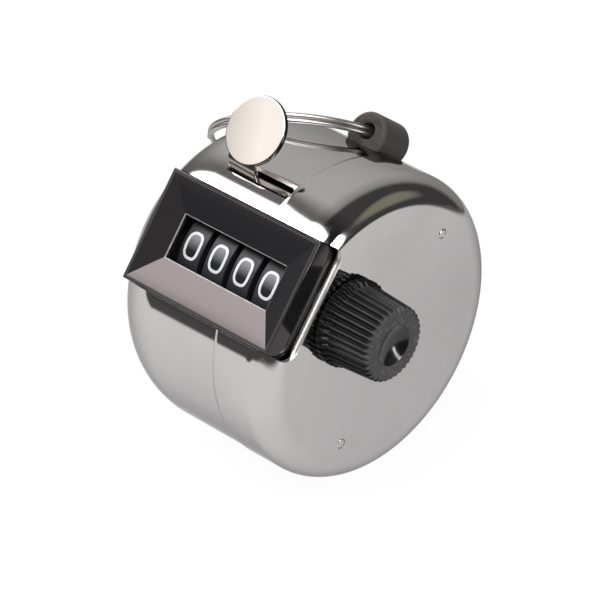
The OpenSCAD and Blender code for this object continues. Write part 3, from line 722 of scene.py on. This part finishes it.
# Strokes of each figure as open or closed lines, in [right, up]. The nought is a superellipse.
def figureStrokes():
    a, b = pick(figures, "halfWidth halfHeight")
    zero = circle(1, 64)
    zero = np.sign(zero) * abs(zero) ** (2 / figures["round"]) * [a, b]
    sixBowl = arc(0, -0.38 * b, a, 0.62 * b, 0, 354, 48)
    sixBack = arc(a, -0.38 * b, 2 * a, 1.38 * b, 178, 108, 24)
    eightTop = arc(0, 0.5 * b, 0.88 * a, 0.5 * b, 0, 352, 40)
    eightFoot = arc(0, -0.46 * b, a, 0.54 * b, 0, 352, 40)

    def line(*p):
        return eased(p, [figures["ease"]] * (len(p) - 2), 4) if len(p) > 2 else np.array(p, float)

    return [
        [(zero, True)],
        [(line((-0.55 * a, 0.62 * b), (0.1 * a, b), (0.1 * a, -b)), False)],
        [(np.concatenate([arc(0, b - a, a, a, 175, -38, 24), line((-a, -b), (a, -b))]), False)],
        [(np.concatenate([arc(-0.05 * a, 0.5 * b, 0.95 * a, 0.5 * b, 150, -80, 20),
                          arc(-0.05 * a, -0.48 * b, 1.05 * a, 0.52 * b, 80, -150, 24)]), False)],
        [(line((0.4 * a, -b), (0.4 * a, b), (-a, -0.4 * b), (1.1 * a, -0.4 * b)), False)],
        [(np.concatenate([line((0.9 * a, b), (-0.7 * a, b), (-0.85 * a, 0.12 * b)),
                          arc(-0.05 * a, -0.36 * b, 1.05 * a, 0.64 * b, 132, -150, 28)]), False)],
        [(sixBowl, True), (sixBack, False)],
        [(line((-a, b), (a, b), (-0.3 * a, -b)), False)],
        [(eightTop, True), (eightFoot, True)],
        [(-sixBowl, True), (-sixBack, False)],
    ]


# Flat [right, up] points wrapped on the band: height is taken round as an angle, at a radius past its own
def wrapped(flat, x0, angle, past):
    radius = wheelShape["radius"] + past
    turn = angle + (flat[..., 1] - figures["drop"]) / wheelShape["radius"]
    return np.stack([x0 + flat[..., 0], -radius * np.cos(turn), radius * np.sin(turn)], axis=-1)


# One stroke as a low bar: line point plus and minus half a stroke across it, raised and sunk
def wrappedStroke(line, closed, x0, angle):
    ahead = np.roll(line, -1, axis=0) - np.roll(line, 1, axis=0) if closed else np.gradient(line, axis=0)
    ahead = unit(ahead)
    across = np.stack([-ahead[:, 1], ahead[:, 0]], axis=-1) * figures["stroke"] / 2
    flat = np.stack([line - across, line + across, line + across, line - across], axis=1)
    past = np.repeat([-figures["sink"], figures["height"]], 2)
    return skin(wrapped(flat, x0, angle, past), closeRows=closed)


# Painted sheen inside a nought, grey standing in for a reflection on the band, lifted by the print height:
# rings from the middle out to the stroke, above and then back below
def noughtSheenPatch(line, x0):
    flat = np.linspace(nearAxis, 1, 7)[:, None, None] * line[None, :, :]
    above, below = (wrapped(flat, x0, 0.0, past) for past in (figures["print"], -figures["sink"]))
    return skin(np.concatenate([above, below[::-1]])), flat[..., 1]


def wheelProfile(s):
    r, c, w, ratchet, bore, hub = pick(s, "radius chamfer band ratchet bore hub")
    easeIn, easeUp = s["ratchetEase"]
    inner, webAt, end = r - s["bandWall"], w - s["web"], w + s["ratchetWidth"]
    return [[bore, 0], [hub, 0], [hub, webAt], [inner, webAt], [inner, 0], [r - c, 0], [r, c], [r, w - c],
            [r - c, w], [ratchet, w], [ratchet, end - easeUp], [ratchet - easeIn, end], [bore, end]]


# Ratchet: the radius falls by a tooth's depth over each figure's share of a turn
def toothed(radius, along, angle):
    s = wheelShape
    tooth = (angle * figures["count"] / (2 * np.pi)) % 1.0
    onRatchet = (along > s["band"] - tiny) & (abs(radius - s["ratchet"]) < 2 * s["ratchetEase"][0])
    return np.where(onRatchet, radius - s["toothDepth"] * tooth, radius)


def makeWheels():
    s = wheelShape
    strokes = figureStrokes()
    for k, place in enumerate(places):
        x0 = s["first"] + k * s["pitch"]
        middle = x0 + s["band"] / 2
        parts = [turned(wheelProfile(s), s["steps"], at=(x0, 0, 0), closed=True, radiusOf=toothed)]
        for figure, lines in enumerate(strokes):
            turn = -figure * 2 * np.pi / figures["count"]
            parts += [wrappedStroke(line, closed, middle, turn) for line, closed in lines]
        inside, height = noughtSheenPatch(strokes[0][0][0], middle)
        mesh = newMesh("numberWheel." + place, parts + [inside], [0] + [1] * (len(parts) - 1) + [2])
        grey = ramp(height / figures["halfHeight"], *figures["grey"])  # painted sheen, fades out downward
        grey = np.concatenate([grey, grey[::-1]]).ravel()
        setEdge(mesh, np.pad(grey, (len(mesh.vertices) - len(grey), 0)))
        finishPiece(mesh, ["wheelBlack", "figureWhite", "noughtSheen"], "wheel_" + place,
                    "number_wheel_" + place, 30)
    print("number wheels made")


makeWheels()

# Reset knob: a turned profile whose foot and grip are pressed in by a row of round grooves. The grooves start
# and end over a run from a place, and the pale shares are how much paler the ridge tops and the end are.
knobShape = dict(back=16.25, end=25.5, foot=6.8, footThick=2.1, footEase=0.2, footRound=0.5, footDrop=0.9,
                 neck=(0.62, 0.75), gripRise=0.15, base=6.3, tip=5.9, round=0.7, endFlat=1.2, dishLip=0.12,
                 dimple=3.15, dimpleDepth=0.8, bore=2.0, boreEnd=22.9, grooves=36, grooveDepth=0.42,
                 groovePower=1.4, grooveStart=(0.1, 0.2), grooveEnd=(-0.1, 0.6), ridgePale=0.1, ridgePower=3,
                 ridgeInset=1.0, endPale=0.30, steps=36 * 18)


def grooved(radius, along, angle):
    k = knobShape
    wave = 0.5 + 0.5 * np.cos(angle * k["grooves"])
    fade = ramp(along - k["back"], *k["grooveStart"]) * ramp(radius - k["tip"] + k["round"], *k["grooveEnd"])
    return radius - k["grooveDepth"] * wave ** k["groovePower"] * fade


def makeKnob():
    k = knobShape
    b, e, r, f, ease, turn, (neckIn, neckUp) = pick(k, "back end round foot footEase footRound neck")
    dimple, depth, bore, deep, tip = pick(k, "dimple dimpleDepth bore boreEnd tip")
    top = b + k["footThick"]
    ball = (dimple ** 2 + depth ** 2) / (2 * depth)  # the dish is part of this ball
    sink = np.linspace(dimple, nearAxis, 14)
    dish = np.stack([sink, e + ball - depth - np.sqrt(ball ** 2 - sink ** 2)], axis=-1)
    low, high = np.array([k["base"], top + k["gripRise"]]), np.array([tip, e - r])
    grip = low + np.linspace(0, 1, 14)[1:-1, None] * (high - low)
    profile = np.concatenate([
        [[nearAxis, deep], [bore, deep], [bore, b], [f - ease, b], [f, b + ease]],
        arc(f - turn, top - k["footDrop"], turn, turn, 0, 40, 5),
        arc(low[0] + neckIn, low[1], neckIn, neckUp, 220, 180, 5), grip, arc(tip - r, e - r, r, r, 0, 90, 9),
        [[dimple + k["endFlat"], e], [dimple + k["dishLip"], e]], dish])
    mesh = newMesh("resetKnob", [turned(profile, k["steps"], radiusOf=grooved)])
    ridge = (0.5 - 0.5 * np.cos(turnAngles(k["steps"]) * k["grooves"]))[None, :] ** k["ridgePower"]
    radius, along = profile[:, :1], profile[:, 1:]
    onGrip = (along > top) & (radius > dimple + k["ridgeInset"])
    endTone = ramp(along, e - r, r) ** 2 * (radius > dimple)
    setEdge(mesh, onGrip * ridge * k["ridgePale"] + endTone * k["endPale"])
    inDish = np.arange(len(mesh.polygons)) >= (len(profile) - len(dish)) * k["steps"]  # its rows come last
    mesh.polygons.foreach_set("material_index", inDish.astype(int))
    finishPiece(mesh, ["knobBlack", "knobDish"], "knob", "reset_knob", 50)
    print("knob made")


makeKnob()

# Thumb lever: a bent strip, a coin for the thumb, and the inner plate, barrel, cheeks and tail.
# The bend carries painted shade by a bell curve of its distance. The disc carries painted shade by its rim
# and on its left.
leverShape = dict(thick=0.8, pivot=(-7.4, 10.2), neckAngle=146.0, neckLength=6.4, neckWidth=5.5, neckX=-3.8,
                  bendReach=1.3, ease=0.2, disc=5.3, discRise=5.15, discThick=0.86, discEase=0.24,
                  discRings=(0.5, 0.3), discSteps=128, rimFrom=0.6, rimShade=0.04, leftShade=0.28,
                  leftAt=math.radians(200), leftShadePast=0.25, bendShadeReach=1.5, bendShade=0.75, tabRight=4.7,
                  tabLength=4.3, tabThick=0.74, plateX=11.55, plateLength=3.0, plateThick=0.72, barrel=1.7,
                  bore=0.95, barrelX=12.1, cheeks=(11.1, 12.0), pawlPin=(9.0, 16.0), tail=(18.2, 18.3),
                  cheekWidth=3.0, tailLength=4.8, tailThick=1.0, apron=(3.1, 3.45), apronTurn=(146.0, 104.0),
                  apronX=(-6.4, 4.6))


# Strip of even width through three points, its corner mitred
def mitred(a, b, c, width):
    a, b, c = (np.asarray(p, float) for p in (a, b, c))
    run, turn = unit(b - a), unit(c - b)
    start, end = (width / 2 * np.array([-d[1], d[0]]) for d in (run, turn))
    corner = (start + end) / (1 + run @ turn)
    return np.array([a + start, b + corner, c + end, c - end, b - corner, a - start])


def makeLever():
    s = leverShape
    run, lift = heading(s["neckAngle"])
    pivot = np.array(s["pivot"])
    bend = pivot + s["neckLength"] * run
    discAt = bend + [0, s["discRise"]]
    line = eased([pivot, bend, discAt], [s["bendReach"]], 13)
    tangent = unit(np.gradient(line, axis=0))
    path = np.column_stack([np.full(len(line), s["neckX"]), line])
    across = np.column_stack([np.zeros(len(line)), -tangent[:, 1], tangent[:, 0]])
    neck = carried(roundedBox(s["neckWidth"] / 2, s["thick"] / 2, s["ease"]), path, [1, 0, 0], across)
    r, e, (first, inset) = pick(s, "disc discEase discRings")
    half = s["discThick"] / 2
    rings = np.linspace(first, r - e - inset, 8)
    coin = np.concatenate([[[nearAxis, -half]], np.column_stack([rings, np.full(len(rings), -half)]),
                           arc(r - e, -half + e, e, e, -90, 0, 7), arc(r - e, half - e, e, e, 0, 90, 7),
                           [[nearAxis, half]]])
    disc = turned(coin, s["discSteps"], "y", (s["neckX"], *discAt))

    # flat bar in the neck's plane, from x0 to x1, as long as asked
    def bar(x0, x1, length, thick):
        ends = [[(x0 + x1) / 2, *pivot], [(x0 + x1) / 2, *(pivot + run * length)]]
        return carried(roundedBox((x1 - x0) / 2, thick / 2, s["ease"]), ends, [1, 0, 0], [0, *lift])

    tab = bar(*pick(s, "neckX tabRight tabLength tabThick"))
    plate = bar(-s["plateX"], *pick(s, "plateX plateLength plateThick"))
    x, bore, barrel = pick(s, "barrelX bore barrel")
    tube = turned([[bore, -x], [barrel, -x], [barrel, x], [bore, x]], 48, at=(0, *pivot), closed=True)
    outline = mitred(pivot, s["pawlPin"], s["tail"], s["cheekWidth"])
    cheeks = [prism(outline, *sorted(side * np.array(s["cheeks"]))) for side in (-1, 1)]
    tailBox = roundedBox(s["tailLength"] / 2, s["tailThick"] / 2, s["ease"])
    tail = prism(tailBox + s["tail"] - [s["tailLength"] / 2, 0], -s["plateX"], s["plateX"])
    inner, outer = s["apron"]  # curved sheet about the pivot that keeps the slot covered
    apron = prism(np.concatenate([arc(*pivot, outer, outer, *s["apronTurn"], 17),
                                  arc(*pivot, inner, inner, *s["apronTurn"][::-1], 17)]), *s["apronX"])
    mesh = newMesh("thumbLever", [neck, disc, tab, plate, tube, *cheeks, tail, apron])
    # painted shade: dark at the bend, and on the disc by its rim and on its left
    fromBend = np.linalg.norm(line - bend, axis=1) / s["bendShadeReach"]
    dark = np.repeat(np.exp(-fromBend ** 2) * s["bendShade"], len(neck[0]) // len(line))
    out = coin[:, :1] / r
    toLeft = out * np.cos(turnAngles(s["discSteps"])[None, :] - s["leftAt"])
    discShade = s["rimShade"] * out ** 4 + s["leftShade"] * np.maximum(s["leftShadePast"] + toLeft, 0)
    discShade = np.where(out > 1 - s["rimFrom"] * e / r, 1.0, discShade).ravel()
    setEdge(mesh, np.concatenate([dark, discShade]))
    finishPiece(mesh, ["leverNickel"], "lever", "thumb_lever", 40)
    print("lever made")


makeLever()

# Finger ring: one wire wound twice, stepping up to the second turn where its ends lie
ringShape = dict(radius=14.0, wire=0.82, drop=25.0, seat=0.2, step=0.4018, split=200.0, jog=12.0,
                 endGap=15.0, lug=(0.2, 9.15, 25.9), steps=420, sides=18)


def makeRing():
    s = ringShape
    turn = np.linspace(s["endGap"], 720 - s["endGap"], s["steps"])
    rise = ramp(turn, 360 - s["jog"], 2 * s["jog"])
    rise = rise * rise * (3 - 2 * rise)
    angle = np.radians(turn + s["split"])
    out = np.stack([np.cos(angle), np.sin(angle), 0 * angle], axis=-1)
    local = out * s["radius"] + s["step"] * (2 * rise - 1)[:, None] * [0, 0, 1]
    drop = math.radians(-s["drop"])
    tilt = np.array([[math.cos(drop), 0, math.sin(drop)], [0, 1, 0], [-math.sin(drop), 0, math.cos(drop)]])
    path = (local + [s["seat"] - s["radius"], 0, 0]) @ tilt.T + s["lug"]
    wire = carried(circle(s["wire"] / 2, s["sides"]), path, out @ tilt.T, tilt[:, 2])
    finishPiece(newMesh("fingerRing", [wire]), ["ringWire"], "ring", "finger_ring", 50)
    print("ring made")


makeRing()

# Lug: circles that run over the outside, across the ends and back through the hole, held above the case.
# Each circle has a place along y, a radius, and a share of the way from the lug's middle to the hole's.
lugShape = dict(radius=3.5, length=7.0, bore=1.3, x=0.2, y=9.15, z=25.4, boreZ=25.9, chamfer=0.45,
                boreEase=0.2, eases=(0.12, 0.12, 0.1, 0.1), seatRadius=23.955, stem=1.4,
                stemRun=(19.95, 24.1), slack=0.01, steps=96)


def makeLug():
    s = lugShape
    r, c, q, e = pick(s, "radius chamfer bore boreEase")
    half = s["length"] / 2
    rings = eased([(0, r, 0), (c - half, r, 0), (-half, r - c, 0), (-half, q + e, 1), (e - half, q, 1),
                   (0, q, 1)], s["eases"], 4)
    rings = np.concatenate([rings[:-1], rings[:0:-1] * [-1, 1, 1]])
    angle = turnAngles(s["steps"])[None, :]
    y = s["y"] + np.repeat(rings[:, :1], s["steps"], axis=1)
    x = s["x"] + rings[:, 1:2] * np.cos(angle)
    z = s["z"] + rings[:, 2:] * (s["boreZ"] - s["z"]) + rings[:, 1:2] * np.sin(angle)
    seat = np.sqrt(s["seatRadius"] ** 2 - (y - standing["shaftForward"]) ** 2)
    body = skin(np.stack([x, y, np.maximum(z, seat)], axis=-1), closeRows=True)
    stem = turned([[s["stem"], end] for end in s["stemRun"]], 32, "z", (s["x"], s["y"], 0))
    mesh = newMesh("ringLug", [body, stem])
    endTone = (abs(rings[:, 0]) > half - s["slack"]) & (rings[:, 1] > q)  # painted shade: the ends are darker than the rest
    setEdge(mesh, np.repeat(endTone.astype(float), s["steps"]))
    finishPiece(mesh, ["lugBlack"], "case", "ring_lug", 35)
    print("lug made")


makeLug()

# Stakes: turned pegs with a low dome on the end that shows in the case's face. Ends are the start, the plate,
# the inside of the case's face and its outside, along x.
stakeShape = dict(shank=1.7, tip=0.75, dome=0.05, ease=0.1, right=(12.3, 13.3, 15.3, 16.1),
                  left=(-12.3, -13.3, -19.4, -20.2))


def makeStakes():
    s = stakeShape
    thin, thick, ease = pick(s, "tip shank ease")
    for hand in ("right", "left"):
        low, plate, face, tip = s[hand]
        side = np.sign(low)
        rise = np.linspace(1, nearAxis, 7)
        dome = np.stack([rise * (thin - ease), tip + side * s["dome"] * (1 - rise ** 2)], axis=-1)
        shank = [[nearAxis, low], [thin, low], [thin, plate], [thick, plate], [thick, face], [thin, face],
                 [thin, tip - side * ease]]
        y, z = holes[hand + "Stake"]
        pegs = [turned(np.concatenate([shank, dome]), 48, at=(0, y, k * z)) for k in (-1, 1)]
        mesh = newMesh(hand + "Stakes", pegs)
        finishPiece(mesh, ["stakeSteel"], "case", hand + "_stakes", 40)
    print("stakes made")


makeStakes()

# Return spring: a round wire wound on a helix, its end turns laid flat, pressed together by the lever
springShape = dict(at=(0.0, 16.2), foot=4.5, top=17.8, gap=0.06, radius=2.2, wire=0.6, turns=5.5,
                   flatTurns=0.7, steps=220, sides=12, pressed=0.38)


def makeSpring():
    s = springShape
    turn = np.linspace(0, s["turns"], s["steps"])
    rise = ramp(turn, s["flatTurns"], s["turns"] - 2 * s["flatTurns"])
    inset = s["wire"] / 2 + s["gap"]
    low, high = s["foot"] + inset, s["top"] - inset
    angle = turn * 2 * np.pi
    out = np.stack([np.cos(angle), np.sin(angle), 0 * angle], axis=-1)
    up = np.array([0, 0, 1.0])
    path = out * s["radius"] + [*s["at"], low] + (high - low) * rise[:, None] * up
    mesh = newMesh("leverSpring", [carried(circle(s["wire"] / 2, s["sides"]), path, out, up)])
    spring = finishPiece(mesh, ["coilSteel"], "case", "lever_spring", 50)
    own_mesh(spring)
    print("spring made")


makeSpring()

# The other pieces inside keep their solids, each with its own finish
insideFinish = {
    "insideSteel": ["wheel_shaft", "shaft_clips", "lever_pin", "pawl_pin", "frame_spacers", "lug_nut"],
    "framePlate": ["frame_left_plate", "frame_right_plate", "frame_cradle", "spring_bar"],
    "coilSteel": ["detent_comb", "drive_pawl", *("reset_leaf_" + place for place in places)],
    "turnedBrass": ["shaft_bush", "thrust_washers"],
}
for finish, names in insideFinish.items():
    for name in names:
        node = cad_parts[name]
        node.data.materials.clear()
        node.data.materials.append(materials[finish])
print("inside pieces finished")
